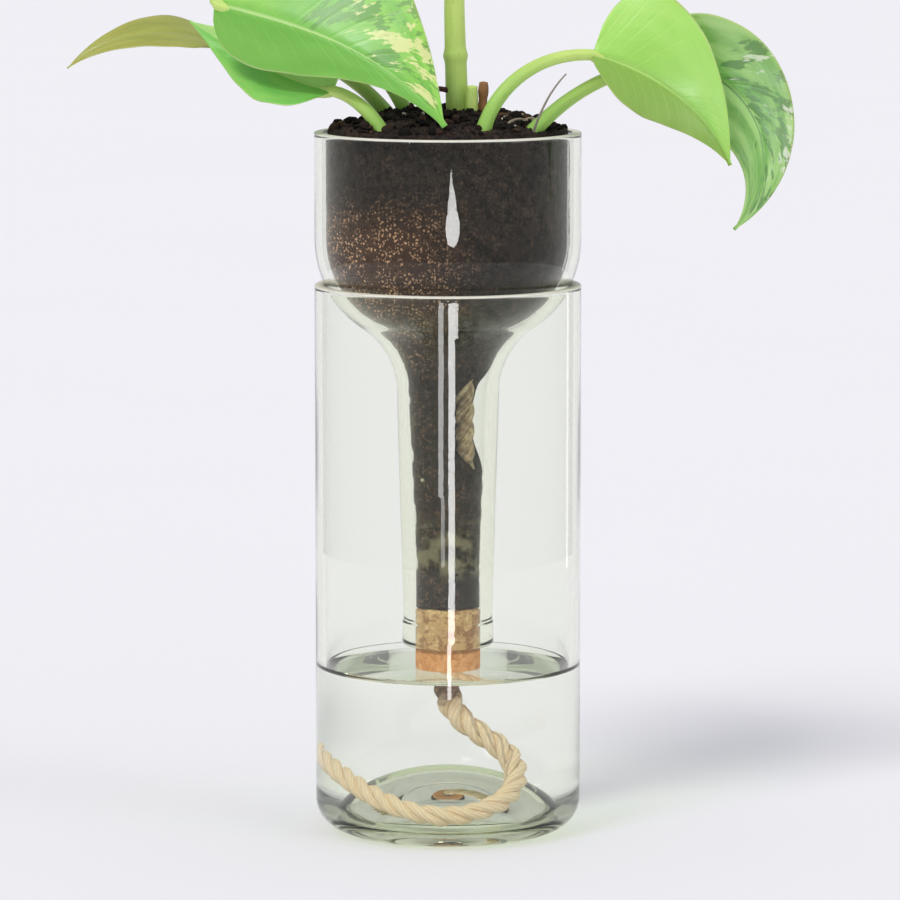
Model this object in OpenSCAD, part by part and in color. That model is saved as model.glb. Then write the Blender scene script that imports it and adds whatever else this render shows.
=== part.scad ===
// Self-watering planter made from one cut glass bottle. The lower half stands as the water
// reservoir, and the inverted upper half seats on its rim as the pot. A bored cork closes the
// neck, and a cotton wick runs through it from the soil down into the water.
// The foot's centre on the standing plane is the origin, +Z is up, and +X is to the viewer's right.

/* [Reservoir] */
// Outside diameter of the bottle, shared by the reservoir and the pot
bottle_d = 75; // [64:1:95]
// Height of the reservoir from the standing ring to its cut rim
reservoir_h = 155; // [130:1:200]
// Glass thickness of the reservoir's wall
reservoir_wall = 3; // [2.4:0.2:4]
// Glass thickness of the floor outside the punt
floor_t = 5; // [3:0.5:8]
// Outside rounding between the wall and the foot
heel_r = 9; // [5:0.5:12]
// Inside rounding between the wall and the floor
heel_inside_r = 6; // [3:0.5:8]
// Rounding of both edges of the polished rims
rim_round = 1.2; // [0.6:0.1:1.2]
// Radius of the hollow under the foot
punt_r = 22; // [16:0.5:24]
// Height of the hollow under the foot
punt_h = 15.5; // [10:0.5:20]
// Glass thickness over the hollow
punt_t = 4; // [3:0.5:5]
// Rounding between the hollow and the standing ring
punt_edge_r = 1.5; // [0.5:0.1:2.5]

/* [Pot] */
// Length of the pot from its rim to the lip of the neck
pot_l = 145; // [135:1:170]
// Straight length below the pot's rim
pot_straight_l = 30; // [20:1:45]
// Glass thickness of the pot
pot_wall = 3; // [2.4:0.2:4]
// Radius of the rounded shoulder
shoulder_r = 30; // [24:0.5:32]
// Radius of the hollow curve from the shoulder to the neck
throat_r = 22; // [16:0.5:28]
// Outside diameter of the neck where the shoulder ends
neck_top_d = 28.8; // [26:0.2:32]
// Outside diameter of the neck beside the lip's ring
neck_low_d = 25.2; // [25:0.2:28]
// Outside diameter of the ring round the lip
lip_ring_d = 25.8; // [25.4:0.2:30]
// Height of the ring round the lip
lip_ring_h = 7; // [4:0.5:10]
// Rounding of the lip and of its ring
lip_round = 1; // [0.4:0.1:1.2]
// Diameter of the bore at the lip
bore_d = 18.5; // [17:0.1:20]
// Straight length of the bore above the lip
bore_straight_l = 25; // [18:1:35]
// Clearance between the shoulder and the reservoir's rim
seat_gap = 0.3; // [0.2:0.05:0.5]

/* [Stopper] */
// Length of the cork
stopper_l = 20; // [16:1:28]
// Length of cork inside the neck
stopper_in_l = 11; // [8:1:14]
// Clearance between the cork and the bore
stopper_fit = 0.1; // [0.05:0.05:0.2]
// Bevel at both ends of the cork
stopper_bevel = 0.8; // [0.2:0.1:1.5]

/* [Wick] */
// Diameter of the cotton rope
wick_d = 6; // [5:0.2:7]
// Clearance of the rope in the cork
wick_fit = 0.1; // [0.05:0.05:0.3]
// Length of rope that stands in the soil above the cork
wick_in_soil_l = 86; // [60:1:95]
// Straight rope above the cork before it leans aside
wick_rise = 2; // [1:0.5:5]
// Height over which the rope leans aside
wick_lean_h = 18; // [14:1:24]
// Distance that the rope leans aside, towards the glass
wick_lean = 5.6; // [4:0.1:5.8]
// Gap between the coiled rope and the reservoir's wall
tail_wall_gap = 3.5; // [1:0.5:6]

/* [Soil] */
// Clearance between the soil and the glass, cork and rope
soil_gap = 0.3; // [0.2:0.05:0.5]
// Height of the soil's edge over the pot's rim
soil_edge_h = 1; // [0.5:0.5:4]
// Height of the mound's middle over its edge
mound_h = 5.5; // [2:0.5:10]
// Height of the open groove that shows the rope
groove_h = 62; // [50:1:66]
// Width of the open groove that shows the rope
groove_w = 5; // [4:0.5:6]

/* [Stems] */
// Diameter of the main stem at the soil
main_stem_d = 6.6; // [5:0.2:8]
// Length of the main stem
main_stem_l = 64; // [50:1:90]
// Diameter of a petiole at the soil
petiole_d = 4.2; // [3:0.1:5]
// Length of the short petiole at the front left
left_petiole_l = 22; // [16:1:34]
// Length of the petiole of the variegated leaf
variegated_petiole_l = 72; // [58:1:95]
// Length of the petiole of the far left leaf
far_petiole_l = 62; // [44:1:76]
// Length of the petiole of the bright leaf
bright_petiole_l = 43; // [34:1:55]
// Length of the petiole of the drooping leaf
drooping_petiole_l = 43; // [34:1:60]
// Diameter of the broken brown stem
brown_stub_d = 2.6; // [2:0.1:4]
// Length of the broken brown stem
brown_stub_l = 14; // [9:1:20]
// Diameter of the cut green sheath beside the main stem
sheath_d = 4; // [3:0.1:5]
// Length of the cut green sheath
sheath_l = 13; // [9:1:18]
// Diameter of the dark aerial root
aerial_root_d = 1.6; // [1.2:0.1:2.4]
// Length of the dark aerial root
aerial_root_l = 17; // [14:1:22]
// Diameter of the dry fibre
fibre_d = 0.8; // [0.6:0.1:1.2]
// Length of the dry fibre
fibre_l = 20; // [12:1:30]

/* [Leaves] */
// Thickness of a leaf
leaf_t = 0.8; // [0.6:0.1:1.4]
// Length of the short left leaf
left_leaf_l = 51; // [36:1:60]
// Width of the short left leaf
left_leaf_w = 28; // [20:1:34]
// Length of the variegated leaf
variegated_leaf_l = 79; // [64:1:90]
// Width of the variegated leaf
variegated_leaf_w = 58; // [38:1:68]
// Length of the far left leaf
far_leaf_l = 44; // [36:1:62]
// Width of the far left leaf
far_leaf_w = 19; // [12:1:24]
// Length of the bright leaf
bright_leaf_l = 51; // [42:1:66]
// Width of the bright leaf
bright_leaf_w = 42; // [34:1:50]
// Length of the drooping leaf
drooping_leaf_l = 67; // [54:1:78]
// Width of the drooping leaf
drooping_leaf_w = 34; // [24:1:42]
// Length of the upper leaf
upper_leaf_l = 78; // [60:1:95]
// Width of the upper leaf
upper_leaf_w = 52; // [40:1:60]

/* [Hidden] */

$fn = 96;
// Length by which a cut runs past the face that it opens
overrun = 1;
bottle_r = bottle_d / 2;
inside_r = bottle_r - reservoir_wall;
wick_r = wick_d / 2;
bore_r = bore_d / 2;
petiole_r = petiole_d / 2;
main_stem_r = main_stem_d / 2;

// The punt is a shallow sphere cut by the standing plane.
punt_sphere_r = (pow(punt_r, 2) + pow(punt_h, 2)) / (2 * punt_h);
punt_centre_z = punt_h - punt_sphere_r;
punt_edge_x = sqrt(pow(punt_sphere_r + punt_edge_r, 2) - pow(punt_edge_r - punt_centre_z, 2));

// The shoulder seats on the rounded inner edge of the reservoir's rim, seat_gap away from it.
shoulder_x = bottle_r - shoulder_r;
seat_reach = shoulder_r + rim_round + seat_gap;
seat_x = inside_r + rim_round - shoulder_x;
shoulder_z = reservoir_h - rim_round + sqrt(pow(seat_reach, 2) - pow(seat_x, 2));
rim_z = shoulder_z + pot_straight_l;
lip_z = rim_z - pot_l;

// The hollow curve is tangent to the shoulder and to the neck.
neck_top_r = neck_top_d / 2;
throat_x = neck_top_r + throat_r;
throat_z = shoulder_z - sqrt(pow(shoulder_r + throat_r, 2) - pow(throat_x - shoulder_x, 2));
tangent_share = shoulder_r / (shoulder_r + throat_r);
tangent_x = shoulder_x + (throat_x - shoulder_x) * tangent_share;
tangent_z = shoulder_z + (throat_z - shoulder_z) * tangent_share;

stopper_z = lip_z + stopper_in_l - stopper_l;
stopper_top_z = lip_z + stopper_in_l;
soil_z = stopper_top_z + soil_gap;
soil_r = bottle_r - pot_wall - soil_gap;
mound_r = (pow(soil_r, 2) + pow(mound_h, 2)) / (2 * mound_h);
mound_top_z = rim_z + soil_edge_h + mound_h;
// Direction in which the rope leans, seen from above
lean_angle = -40;
wick_top_z = stopper_top_z + wick_in_soil_l;

// The rope's free tail hangs from the cork, bends down the punt's right side, lies round its front
// and rises to its end at the left wall. Each place is a share of the coil's radius, the direction
// seen from above, and a share of the height from the floor to the cork.
tail_floor_z = floor_t + wick_r + soil_gap;
tail_coil_r = inside_r - wick_r - tail_wall_gap;
tail_places = [[0, -20, 1], [0, -20, 0.88], [0.046, -16.5, 0.764], [0.142, -16.2, 0.658],
    [0.276, -16.9, 0.567], [0.422, -19.4, 0.478], [0.557, -24.5, 0.381], [0.671, -32.5, 0.279],
    [0.763, -42.9, 0.185], [0.838, -54.6, 0.109], [0.892, -67, 0.055], [0.922, -79.7, 0.021],
    [0.931, -92.7, 0.01], [0.928, -105.8, 0.023], [0.922, -119, 0.059], [0.919, -132.2, 0.111],
    [0.924, -145.3, 0.168], [0.938, -158.2, 0.224], [0.961, -170.8, 0.272], [0.99, 177.1, 0.311],
    [1.021, 165.4, 0.341]];
function over_punt(r) = punt_centre_z
    + sqrt(max(0, pow(punt_sphere_r + punt_t + wick_r + soil_gap, 2) - pow(r, 2)));
tail_route = [for (p = tail_places) let (r = p[0] * tail_coil_r)
    [r * cos(p[1]), r * sin(p[1]),
        max(over_punt(r), tail_floor_z + p[2] * (stopper_z - tail_floor_z))]];

// Places on the soil as shares of its radius, with the direction seen from above
main_root_share = 0.09;
variegated_root_share = 0.37;
far_root_share = 0.58;
bright_root_share = 0.8;
drooping_root_share = 0.84;
fibre_root_share = 0.94;

// Root of the short left stem from the variegated leaf's, as shares of its own length
left_root_shares = [-0.35, -1.276, 0];
// Share of its length by which the variegated leaf hangs where the short left stem rises in full
full_rise_share = 0.43;
// Share of the variegated leaf's length at which it comes nearest to the soil
tip_reach_share = 0.8;

// Each stem: direction of its root, heading, then its pitch at the start, middle and end. The
// sheath's direction is taken from the main stem, and the broken stem's from the sheath.
main_angles = [0, 0, 93, 91, 88];
variegated_angles = [141, 192, 71, 32, -4];
far_angles = [135, 169, 56, 23, -5];
bright_angles = [-70, 19, 80, 33, -4];
drooping_angles = [-39, 20, 46, 27, 4];
sheath_angles = [-55, 0, 86, 88, 90];
stub_angles = [40, 20, 84, 86, 88];
aerial_angles = [0, 196, 30, -10, -78];
fibre_angles = [-44, 12, 72, 62, 44];

// Each leaf: heading, pitch at the base, middle and tip, roll at the base and at the tip,
// then how far the upper and the lower half fold out of the plane
far_leaf_angles = [186, 25, -11, -39, -17, -45, 0, 2];
bright_leaf_angles = [1, -15, -37, -69, 40, 100, 25, 25];
drooping_leaf_angles = [-3, 8, -64, -136, 95, 80, 12, 2];
upper_leaf_angles = [158, 34, -4, -48, 24, 10, 12, 12];

// Share of a leaf's width that lies on its upper half
left_upper_share = 0.51;
variegated_upper_share = 0.75;
far_upper_share = 0.49;
bright_upper_share = 0.55;
drooping_upper_share = 0.5;
upper_upper_share = 0.5;

// Shape of a leaf: how early it is widest, how blunt its sides are and how it draws to a tip
leaf_early_share = 0.55;
leaf_blunt_share = 0.9;
leaf_taper_share = 0.6;
leaf_level_share = 1.17;
leaf_end_share = 0.03;
leaf_rows = 18;
leaf_columns = 3;
stem_rings = 14;
stem_sides = 12;
wick_sides = 12;
tail_sides = 10;
fibre_sides = 6;
stem_tip_share = 0.75;
aerial_start_share = 0.16;

function unit(v) = v / norm(v);
function heading(angle) = [cos(angle), sin(angle), 0];
function pitch(a, t) = a[0] * (1 - t) * (1 - 2 * t) + a[1] * 4 * t * (1 - t) + a[2] * t * (2 * t - 1);

// Points along a stem or a midrib of length l that bends in one upright plane
function bend(start, head, pitches, l, n) = [
    for (i = 0, p = start; i <= n;
        p = p + l / n * (cos(pitch(pitches, (i + 0.5) / n)) * heading(head)
            + [0, 0, sin(pitch(pitches, (i + 0.5) / n))]), i = i + 1) p];
function root(place_share, angles) =
    [place_share * soil_r * cos(angles[0]), place_share * soil_r * sin(angles[0]), rim_z];
function stem_path(start, angles, l) =
    bend(start, angles[1], [angles[2], angles[3], angles[4]], l, stem_rings);
function last(points) = points[len(points) - 1];

// Direction at each point of a path, and an even, untwisted sideways direction for its rings
function along(path, i) = unit(path[min(i + 1, len(path) - 1)] - path[max(i - 1, 0)]);
function sideways(path) = [
    for (i = 0, s = unit(cross(along(path, 0), [0.3, 1, 0.1])); i < len(path);
        s = unit(s - (s * along(path, min(i + 1, len(path) - 1)))
            * along(path, min(i + 1, len(path) - 1))), i = i + 1) s];

// Triangles that close a stack of rings of n points each into one solid, with strips for its ends
function ring_faces(rings, n) = concat(
    [for (i = [0 : n / 2 - 2], k = [0, 1])
        k == 0 ? [i, i + 1, n - 2 - i] : [i, n - 2 - i, n - 1 - i]],
    [for (j = [0 : rings - 2], i = [0 : n - 1], k = [0, 1])
        k == 0
            ? [j * n + i, (j + 1) * n + i, (j + 1) * n + (i + 1) % n]
            : [j * n + i, (j + 1) * n + (i + 1) % n, j * n + (i + 1) % n]],
    [for (i = [0 : n / 2 - 2], k = [0, 1], m = (rings - 1) * n)
        k == 0 ? [m + i, m + n - 2 - i, m + i + 1] : [m + i, m + n - 1 - i, m + n - 2 - i]]);

// Round tube along a path, from radius r0 to radius r1
module tube(path, r0, r1, sides) {
    side = sideways(path);
    rings = len(path);
    points = [for (j = [0 : rings - 1], i = [0 : sides - 1])
        path[j] + (r0 + (r1 - r0) * j / (rings - 1))
            * (cos(360 * i / sides) * side[j] + sin(360 * i / sides) * cross(along(path, j), side[j]))];
    polyhedron(points, ring_faces(rings, sides));
}

// Half-width of a leaf at share t of its length, where 1 is the widest
function leaf_outline(t) = max(leaf_end_share,
    pow(sin(180 * pow(t, leaf_early_share)), leaf_blunt_share) * (1 - leaf_taper_share * t)
        * leaf_level_share);
function leaf_side(head, pitch_now, roll) =
    cos(roll) * [-sin(head), cos(head), 0]
    + sin(roll) * [-sin(pitch_now) * cos(head), -sin(pitch_now) * sin(head), cos(pitch_now)];
function leaf_face(head, pitch_now, roll) =
    cos(roll) * [-sin(pitch_now) * cos(head), -sin(pitch_now) * sin(head), cos(pitch_now)]
    - sin(roll) * [-sin(head), cos(head), 0];

// Curved blade: each row is a closed ring along its lower face and back over its upper face
module leaf(base, a, l, w, upper_share) {
    mid = bend(base, a[0], [a[1], a[2], a[3]], l, leaf_rows);
    columns = [for (c = [-leaf_columns : leaf_columns]) c / leaf_columns];
    loop = concat([for (c = columns) [c, -0.5]], [for (c = columns) [-c, 0.5]]);
    points = [for (j = [0 : leaf_rows], q = loop)
        let (t = j / leaf_rows,
            angle = pitch([a[1], a[2], a[3]], t),
            roll = a[4] + (a[5] - a[4]) * t,
            side = leaf_side(a[0], angle, roll),
            face = leaf_face(a[0], angle, roll),
            fold = q[0] > 0 ? a[6] : a[7],
            half = leaf_outline(t) * w * (q[0] > 0 ? upper_share : 1 - upper_share))
        mid[j] + half * q[0] * cos(fold) * side + half * abs(q[0]) * sin(fold) * face
            + q[1] * leaf_t * face];
    polyhedron(points, ring_faces(leaf_rows + 1, len(loop)));
}

// Corner of a profile that a rounding takes away, for a corner at the origin that points to +X, +Y
module corner(r) {
    translate([-r, -r]) difference() {
        square([r + overrun, r + overrun]);
        circle(r);
    }
}

// Profile of the inverted bottle top at a depth of inset inside its outer face,
// between the throat and the height top_z
module shoulder_profile(inset, top_z) {
    translate([0, shoulder_z]) square([bottle_r - inset, top_z - shoulder_z]);
    intersection() {
        translate([0, tangent_z]) square([bottle_r, shoulder_z - tangent_z]);
        union() {
            translate([shoulder_x, shoulder_z]) circle(shoulder_r - inset);
            translate([0, tangent_z]) square([max(shoulder_x, tangent_x / 2), shoulder_z - tangent_z]);
        }
    }
    difference() {
        translate([0, throat_z]) square([tangent_x, tangent_z - throat_z]);
        translate([throat_x, throat_z]) circle(throat_r + inset);
    }
}

// Profile of the bore, drawn in by inset, from bottom_z up to the throat
module bore_profile(inset, bottom_z) {
    straight_z = lip_z + bore_straight_l;
    polygon([[0, bottom_z], [bore_r - inset, bottom_z], [bore_r - inset, straight_z],
        [neck_top_r - pot_wall - inset, throat_z], [0, throat_z]]);
}

module reservoir_profile() {
    difference() {
        square([bottle_r, reservoir_h]);
        translate([bottle_r, reservoir_h]) corner(rim_round);
        mirror([0, 1]) translate([bottle_r, 0]) corner(heel_r);
        difference() {
            translate([0, floor_t]) square([inside_r, reservoir_h]);
            mirror([0, 1]) translate([inside_r, -floor_t]) corner(heel_inside_r);
            translate([0, punt_centre_z]) circle(punt_sphere_r + punt_t);
        }
        translate([inside_r, reservoir_h]) mirror([1, 0]) corner(rim_round);
        translate([0, punt_centre_z]) circle(punt_sphere_r);
        difference() {
            polygon([[punt_r - punt_edge_r, -overrun], [punt_edge_x, -overrun],
                [punt_edge_x, punt_edge_r],
                [punt_edge_x * punt_sphere_r / (punt_sphere_r + punt_edge_r),
                    punt_centre_z + (punt_edge_r - punt_centre_z)
                        * punt_sphere_r / (punt_sphere_r + punt_edge_r)]]);
            translate([punt_edge_x, punt_edge_r]) circle(punt_edge_r);
        }
    }
}

module pot_profile() {
    difference() {
        union() {
            shoulder_profile(0, rim_z);
            polygon([[0, lip_z], [neck_low_d / 2, lip_z], [neck_low_d / 2, lip_z + lip_ring_h],
                [neck_top_r, throat_z], [0, throat_z]]);
            translate([0, lip_z]) square([lip_ring_d / 2, lip_ring_h]);
        }
        translate([bottle_r, rim_z]) corner(rim_round);
        translate([bottle_r - pot_wall, rim_z]) mirror([1, 0]) corner(rim_round);
        mirror([0, 1]) translate([lip_ring_d / 2, -lip_z]) corner(lip_round);
        bore_profile(0, lip_z - overrun);
        shoulder_profile(pot_wall, rim_z + overrun);
    }
}

module reservoir() {
    color("honeydew", 0.4) rotate_extrude() intersection() {
        reservoir_profile();
        square([bottle_r, reservoir_h]);
    }
}

module pot() {
    color("honeydew", 0.4) rotate_extrude() intersection() {
        pot_profile();
        translate([0, lip_z]) square([bottle_r, pot_l]);
    }
}

module stopper() {
    cork_r = bore_r - stopper_fit;
    color("tan") rotate_extrude() difference() {
        polygon([[0, stopper_z], [cork_r - stopper_bevel, stopper_z],
            [cork_r, stopper_z + stopper_bevel], [cork_r, stopper_top_z - stopper_bevel],
            [cork_r - stopper_bevel, stopper_top_z], [0, stopper_top_z]]);
        translate([0, stopper_z - overrun]) square([wick_r + wick_fit, stopper_l + 2 * overrun]);
    }
}

// The held stretch: straight through the cork, then leaning aside in the neck up to its end
module wick_core() {
    lean_z = stopper_top_z + wick_rise;
    steps = 8;
    path = concat([[0, 0, stopper_z]],
        [for (i = [0 : steps]) let (t = i / steps)
            wick_lean * (3 * t * t - 2 * t * t * t) * heading(lean_angle)
                + [0, 0, lean_z + t * wick_lean_h]],
        [wick_lean * heading(lean_angle) + [0, 0, wick_top_z]]);
    color("wheat") tube(path, wick_r, wick_r, wick_sides);
}

module wick_tail() {
    color("wheat") tube(tail_route, wick_r, wick_r, tail_sides);
}

// Everything that the rope needs open in the soil, so that the soil lifts straight off it
module wick_groove() {
    hole_r = wick_r + soil_gap;
    rotate([0, 0, lean_angle]) {
        translate([0, 0, soil_z - overrun]) linear_extrude(wick_rise + wick_lean_h + overrun) {
            circle(hole_r);
            translate([0, -hole_r]) square([wick_lean, 2 * hole_r]);
        }
        translate([wick_lean, 0, soil_z - overrun])
            cylinder(h = wick_top_z + soil_gap - soil_z + overrun, r = hole_r + soil_gap);
        translate([wick_lean, -groove_w / 2, soil_z - overrun])
            cube([bottle_r, groove_w, groove_h + overrun]);
    }
}

module soil() {
    color("#4a3a33") difference() {
        rotate_extrude() intersection() {
            union() {
                shoulder_profile(pot_wall + soil_gap, mound_top_z);
                bore_profile(soil_gap, soil_z);
            }
            translate([0, mound_top_z - mound_r]) circle(mound_r);
            translate([0, soil_z]) square([bottle_r, mound_top_z - soil_z]);
        }
        wick_groove();
    }
}

main_path = stem_path(root(main_root_share, main_angles), main_angles, main_stem_l);
variegated_path = stem_path(root(variegated_root_share, variegated_angles), variegated_angles,
    variegated_petiole_l);
far_path = stem_path(root(far_root_share, far_angles), far_angles, far_petiole_l);
bright_path = stem_path(root(bright_root_share, bright_angles), bright_angles, bright_petiole_l);
drooping_path = stem_path(root(drooping_root_share, drooping_angles), drooping_angles,
    drooping_petiole_l);

// The variegated leaf hangs until its tip is just over the soil.
tip_gap = 0.3;
variegated_heading = -24;
tip_place = last(variegated_path)
    + tip_reach_share * variegated_leaf_l * heading(variegated_heading);
tip_soil_r = min(soil_r, norm([tip_place[0], tip_place[1]]));
tip_soil_z = mound_top_z - mound_r + sqrt(pow(mound_r, 2) - pow(tip_soil_r, 2));
hang_share = min(1, max(0, (last(variegated_path)[2] - tip_soil_z - tip_gap)
    / variegated_leaf_l));
hang_angle = asin(hang_share);
variegated_leaf_angles = [variegated_heading, -0.5 * hang_angle, -0.85 * hang_angle, -2.1 * hang_angle,
    66, 51, 5, -25];

// The short left stem stands beside the variegated leaf's root, and it and its leaf lie lower
// where the variegated leaf hangs lower.
left_root = variegated_path[0] + left_petiole_l * left_root_shares;
left_rise_share = hang_share / full_rise_share;
left_angles = [0, 145, 60 * left_rise_share, 35 * left_rise_share, 9 * left_rise_share];
left_path = stem_path(left_root, left_angles, left_petiole_l);
left_leaf_angles = [150, 7 * left_rise_share, 24 * left_rise_share, 26 * left_rise_share,
    -30, -75, 15, 13];

// The sheath stands beside the main stem and the broken stem beside the sheath.
sheath_root = main_path[0]
    + (main_stem_r + sheath_d / 2 + soil_gap) * heading(sheath_angles[0]);
stub_root = sheath_root
    + (sheath_d / 2 + brown_stub_d / 2 + soil_gap) * heading(stub_angles[0]);

module petiole(path) {
    color("yellowgreen") tube(path, petiole_r, petiole_r * stem_tip_share, stem_sides);
}

module main_stem() {
    color("darkkhaki") tube(main_path, main_stem_r, main_stem_r * stem_tip_share, stem_sides);
}

module cut_sheath() {
    path = stem_path(sheath_root, sheath_angles, sheath_l);
    color("darkkhaki") tube(path, sheath_d / 2, sheath_d / 2 * stem_tip_share, stem_sides);
}

module brown_stub() {
    path = stem_path(stub_root, stub_angles, brown_stub_l);
    color("sienna") tube(path, brown_stub_d / 2, brown_stub_d / 2, stem_sides);
}

// Leaves the main stem a little above the soil and bends over into it
module aerial_root() {
    start = main_path[0] + [0, 0, aerial_start_share * main_stem_l];
    color("#5a1f22") tube(stem_path(start, aerial_angles, aerial_root_l), aerial_root_d / 2,
        aerial_root_d / 2 * stem_tip_share, stem_sides);
}

module dry_fibre() {
    path = stem_path(root(fibre_root_share, fibre_angles), fibre_angles, fibre_l);
    color("dimgray") tube(path, fibre_d / 2, fibre_d / 2 * stem_tip_share, fibre_sides);
}

module petiole_left() { petiole(left_path); }
module petiole_variegated() { petiole(variegated_path); }
module petiole_far_left() { petiole(far_path); }
module petiole_bright() { petiole(bright_path); }
module petiole_drooping() { petiole(drooping_path); }

module leaf_left() {
    color("yellowgreen")
        leaf(last(left_path), left_leaf_angles, left_leaf_l, left_leaf_w, left_upper_share);
}

module leaf_variegated() {
    color("mediumseagreen") leaf(last(variegated_path), variegated_leaf_angles, variegated_leaf_l,
        variegated_leaf_w, variegated_upper_share);
}

module leaf_far_left() {
    color("olivedrab")
        leaf(last(far_path), far_leaf_angles, far_leaf_l, far_leaf_w, far_upper_share);
}

module leaf_bright() {
    color("yellowgreen")
        leaf(last(bright_path), bright_leaf_angles, bright_leaf_l, bright_leaf_w, bright_upper_share);
}

module leaf_drooping() {
    color("darkseagreen") leaf(last(drooping_path), drooping_leaf_angles, drooping_leaf_l,
        drooping_leaf_w, drooping_upper_share);
}

module leaf_upper() {
    color("mediumseagreen")
        leaf(last(main_path), upper_leaf_angles, upper_leaf_l, upper_leaf_w, upper_upper_share);
}

reservoir();
pot();
stopper();
wick_core();
wick_tail();
soil();
main_stem();
cut_sheath();
brown_stub();
aerial_root();
dry_fibre();
petiole_left();
petiole_variegated();
petiole_far_left();
petiole_bright();
petiole_drooping();
leaf_left();
leaf_variegated();
leaf_far_left();
leaf_bright();
leaf_drooping();
leaf_upper();
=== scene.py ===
import math
import random

import bpy
import numpy as np
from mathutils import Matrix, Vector, noise


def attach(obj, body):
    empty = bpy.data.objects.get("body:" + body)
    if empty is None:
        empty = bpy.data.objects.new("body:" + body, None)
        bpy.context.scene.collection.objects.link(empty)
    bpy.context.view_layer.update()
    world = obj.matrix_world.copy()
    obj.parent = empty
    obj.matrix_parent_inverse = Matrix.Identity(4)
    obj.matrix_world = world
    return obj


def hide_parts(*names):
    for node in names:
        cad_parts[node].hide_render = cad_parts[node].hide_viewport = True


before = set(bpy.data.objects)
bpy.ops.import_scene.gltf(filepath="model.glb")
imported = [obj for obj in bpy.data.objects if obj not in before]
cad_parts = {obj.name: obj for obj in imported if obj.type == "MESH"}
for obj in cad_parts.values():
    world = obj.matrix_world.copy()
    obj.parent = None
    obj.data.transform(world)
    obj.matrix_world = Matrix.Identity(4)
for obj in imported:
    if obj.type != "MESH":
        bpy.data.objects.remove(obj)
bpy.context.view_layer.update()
MM = 0.001
rng = random.Random(11)


def show(name, data):
    """New object in the scene."""
    obj = bpy.data.objects.new(name, data)
    bpy.context.scene.collection.objects.link(obj)
    return obj


# Camera, before anything else: the printed picture's own framing, seen from 1.4 m away
camera = show("camera", bpy.data.cameras.new("camera"))
camera.location = (0, -1.4, 0.289)
aim = Vector((0.0006, 0, 0.108)) - camera.location
camera.rotation_euler = aim.to_track_quat("-Z", "Y").to_euler()
camera.data.lens, camera.data.sensor_width = 200, 36
camera.data.clip_start, camera.data.clip_end = 0.05, 60
bpy.context.scene.camera = camera
bpy.context.scene.view_settings.view_transform = "Standard"

# Sizes in millimetres, as in the part's source
BOTTLE_R, WALL, RIM, RESERVOIR_H = 37.5, 3.0, 1.2, 155.0
FLOOR_T, HEEL_R, HEEL_IN_R = 5.0, 9.0, 6.0
PUNT_R, PUNT_H, PUNT_T, PUNT_EDGE = 22.0, 15.5, 4.0, 1.5
POT_L, STRAIGHT_L, SHOULDER_R, THROAT_R = 145.0, 30.0, 30.0, 22.0
NECK_TOP_R, NECK_LOW_R, LIP_RING_R, LIP_RING_H, LIP_ROUND = 14.4, 12.6, 12.9, 7.0, 1.0
BORE_R, BORE_L, SEAT_GAP = 9.25, 25.0, 0.3
CORK_L, CORK_IN_L = 20.0, 11.0
ROPE_R, ROPE_IN_SOIL_L, ROPE_RISE, LEAN_H, LEAN, LEAN_ANGLE = 3.0, 86.0, 2.0, 18.0, 5.6, -40.0
TAIL_WALL_GAP = 3.5
SOIL_GAP, SOIL_EDGE_H, MOUND_H = 0.3, 1.0, 5.5
MAIN_R, MAIN_RIB_R, MAIN_L, PETIOLE_R, PETIOLE_RIB_R, SHEATH_R, STUB_R = 3.3, 2.35, 64, 2.1, 1.45, 2.0, 1.3
LEFT_L, LEFT_LEAF_L, VARIEGATED_LEAF_L, TIP_GAP, LEAF_T = 22, 51, 79, 0.3, 0.55
WATER_Z, MENISCUS_H, MENISCUS_W, INTO_GLASS = 46.4, 1.5, 2.6, 0.06

INSIDE_R = BOTTLE_R - WALL
PUNT_SPHERE = (PUNT_R**2 + PUNT_H**2) / (2 * PUNT_H)
PUNT_Z = PUNT_H - PUNT_SPHERE
SHOULDER_X = BOTTLE_R - SHOULDER_R
SHOULDER_Z = (RESERVOIR_H - RIM
              + math.sqrt((SHOULDER_R + RIM + SEAT_GAP) ** 2 - (INSIDE_R + RIM - SHOULDER_X) ** 2))
RIM_Z = SHOULDER_Z + STRAIGHT_L
LIP_Z = RIM_Z - POT_L
THROAT_X = NECK_TOP_R + THROAT_R
THROAT_Z = SHOULDER_Z - math.sqrt((SHOULDER_R + THROAT_R) ** 2 - (THROAT_X - SHOULDER_X) ** 2)
TANGENT = math.degrees(math.atan2(THROAT_Z - SHOULDER_Z, THROAT_X - SHOULDER_X))
CORK_Z = LIP_Z + CORK_IN_L - CORK_L
CORK_TOP_Z = LIP_Z + CORK_IN_L
SOIL_Z = CORK_TOP_Z + SOIL_GAP
SOIL_R = BOTTLE_R - WALL - SOIL_GAP
MOUND_R = (SOIL_R**2 + MOUND_H**2) / (2 * MOUND_H)
MOUND_TOP_Z = RIM_Z + SOIL_EDGE_H + MOUND_H
ROPE_TOP_Z = CORK_TOP_Z + ROPE_IN_SOIL_L
# Side of the neck that the soil leaves open, so that the rope shows: direction, middle and half height
OPEN_ANGLE, OPEN_Z, OPEN_H = -20, 117, 13.5

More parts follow.
